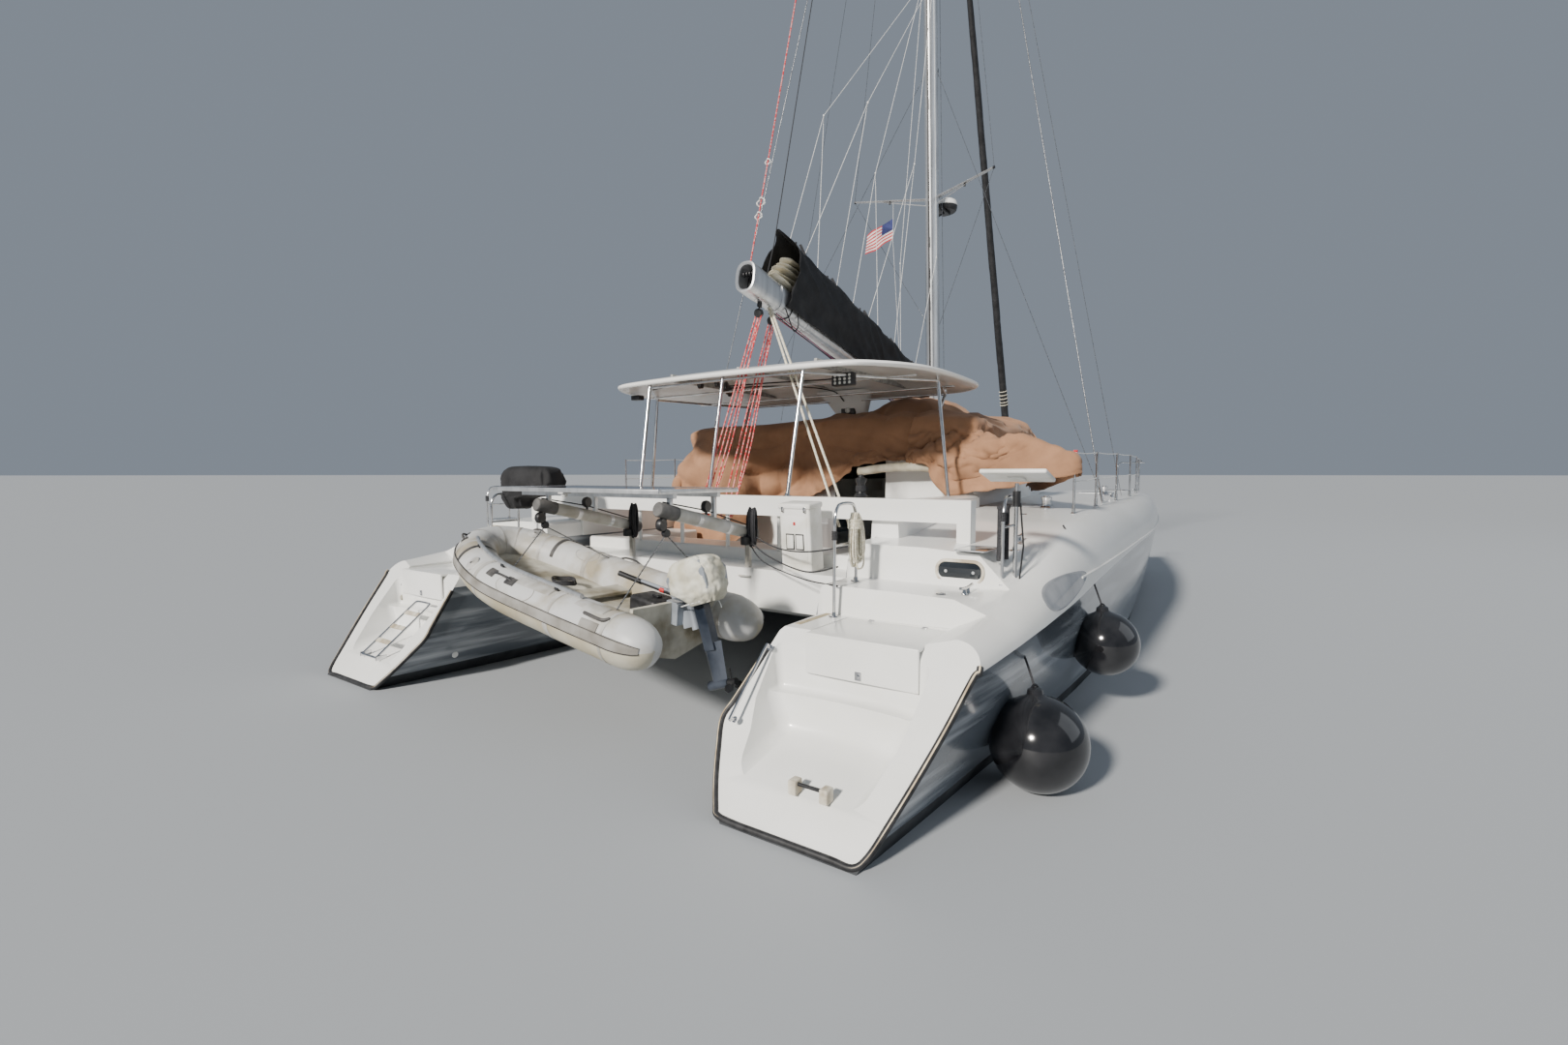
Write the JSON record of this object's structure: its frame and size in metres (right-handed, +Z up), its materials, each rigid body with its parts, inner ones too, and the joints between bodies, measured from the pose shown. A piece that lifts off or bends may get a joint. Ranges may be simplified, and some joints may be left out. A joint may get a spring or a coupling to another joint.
{
  "type": "sailing catamaran, 14 m cruising type",
  "caption": "Cruising sailing catamaran afloat: decked hulls, saloon under a canvas cover, hard bimini, stowed sails and a dinghy with outboard on stern davits.",
  "frame": {"origin": "on the waterline, amidships, on the centreline", "axes": "+X starboard, +Y towards the bows, +Z up"},
  "size_m": [7.97, 14.2501, 21.8],
  "materials": {
    "gelcoat": "gloss",
    "moulded": "satin",
    "antifouling": "matte",
    "bronze": "dull",
    "cast_paint": "satin",
    "stainless": "polished",
    "alloy": "satin",
    "tinted_glass": "gloss",
    "canvas": "woven",
    "sailcloth": "woven",
    "netting": "open mesh",
    "collar_cloth": "weathered",
    "black_gloss": "gloss",
    "solar_glass": "gloss"
  },
  "bodies": {
    "root": {"hull_starboard": "gelcoat", "hull_port": "gelcoat", "engine_starboard": "cast_paint", "engine_port": "cast_paint", "keel_starboard": "antifouling", "keel_port": "antifouling", "saildrive_starboard": "cast_paint", "saildrive_port": "cast_paint", "bridge_deck": "gelcoat", "saloon_walls": "gelcoat", "saloon_windows": "tinted_glass", "coachroof": "gelcoat", "cockpit_seats": "moulded", "cockpit_coaming": "gelcoat", "helm_console": "moulded", "bimini_top": "gelcoat", "bimini_frame": "stainless", "canvas_cover": "canvas", "mast": "alloy", "spreaders": "alloy", "radar": "moulded", "shroud_starboard": "stainless", "shroud_port": "stainless", "headsail_furled": "sailcloth", "furler_drum": "alloy", "crossbeam": "alloy", "longeron": "alloy", "trampoline": "netting", "anchor": "cast_paint", "guard_rail_starboard": "stainless", "guard_rail_port": "stainless", "stern_rail_inboard_starboard": "stainless", "stern_rail_inboard_port": "stainless", "stern_rail_outboard_starboard": "stainless", "stern_rail_outboard_port": "stainless", "tender_collar": "collar_cloth", "tender_hull": "moulded", "davits": "alloy", "solar_panel": "solar_glass", "outboard_clamp": "black_gloss", "fender_1": "black_gloss", "fender_2": "black_gloss", "storage_box": "moulded", "aerial_panel": "moulded", "gooseneck": "alloy"},
    "boom": {"boom": "alloy", "sail_bag": "sailcloth"},
    "rudder_starboard": {"rudder_starboard": "antifouling"},
    "rudder_port": {"rudder_port": "antifouling"},
    "helm_wheel": {"steering_wheel": "stainless"},
    "prop_starboard": {"propeller_starboard": "bronze"},
    "prop_port": {"propeller_port": "bronze"},
    "lid_starboard": {"transom_lid_starboard": "gelcoat"},
    "lid_port": {"transom_lid_port": "gelcoat"},
    "ladder": {"swim_ladder": "stainless"},
    "door": {"saloon_door": "alloy"},
    "outboard": {"outboard_motor": "cast_paint"},
    "outboard_prop": {"outboard_propeller": "cast_paint"}
  },
  "joints": [
    {"name": "boom_swing", "type": "hinge", "parent": "root", "child": "boom", "pos_m": [0, 1.6, 3.275], "axis": [0, 0, 1], "range_deg": [-50, 41]},
    {"name": "rudder_starboard_turn", "type": "hinge", "parent": "root", "child": "rudder_starboard", "pos_m": [2.8, -5.78, 0], "axis": [0, 0, 1], "range_deg": [-35, 35]},
    {"name": "rudder_port_turn", "type": "hinge", "parent": "root", "child": "rudder_port", "pos_m": [-2.8, -5.78, 0], "axis": [0, 0, 1], "range_deg": [-35, 35]},
    {"name": "helm_turn", "type": "hinge", "parent": "root", "child": "helm_wheel", "pos_m": [-1.45, -2.84, 1.78], "axis": [0, 1, 0], "range_deg": [-540, 540]},
    {"name": "prop_starboard_spin", "type": "hinge", "parent": "root", "child": "prop_starboard", "pos_m": [2.8, -4.87, -0.83], "axis": [0, 1, 0], "continuous": true},
    {"name": "prop_port_spin", "type": "hinge", "parent": "root", "child": "prop_port", "pos_m": [-2.8, -4.87, -0.83], "axis": [0, 1, 0], "continuous": true},
    {"name": "lid_starboard_lift", "type": "hinge", "parent": "root", "child": "lid_starboard", "pos_m": [2.8, -5.655, 1.064], "axis": [-1, 0, 0], "range_deg": [0, 80]},
    {"name": "lid_port_lift", "type": "hinge", "parent": "root", "child": "lid_port", "pos_m": [-2.8, -5.655, 1.064], "axis": [-1, 0, 0], "range_deg": [0, 80]},
    {"name": "ladder_fold", "type": "hinge", "parent": "root", "child": "ladder", "pos_m": [-2.64, -6.916, 0.265], "axis": [1, 0, 0], "range_deg": [0, 185]},
    {"name": "door_slide", "type": "slide", "parent": "root", "child": "door", "axis": [1, 0, 0], "range_m": [0, 0.76]},
    {"name": "outboard_steer", "type": "hinge", "parent": "root", "child": "outboard", "pos_m": [1.16, -6.105, 1.12], "axis": [-0.309, 0, 0.9511], "range_deg": [-35, 35]},
    {"name": "outboard_prop_spin", "type": "hinge", "parent": "outboard", "child": "outboard_prop", "pos_m": [1.6055, -6.105, 0.5287], "axis": [0.9511, 0, 0.309], "continuous": true}
  ],
  "couplings": [
    {"joint": "rudder_port_turn", "follows": "rudder_starboard_turn", "ratio": 1},
    {"joint": "helm_turn", "follows": "rudder_starboard_turn", "ratio": 15.4}
  ]
}
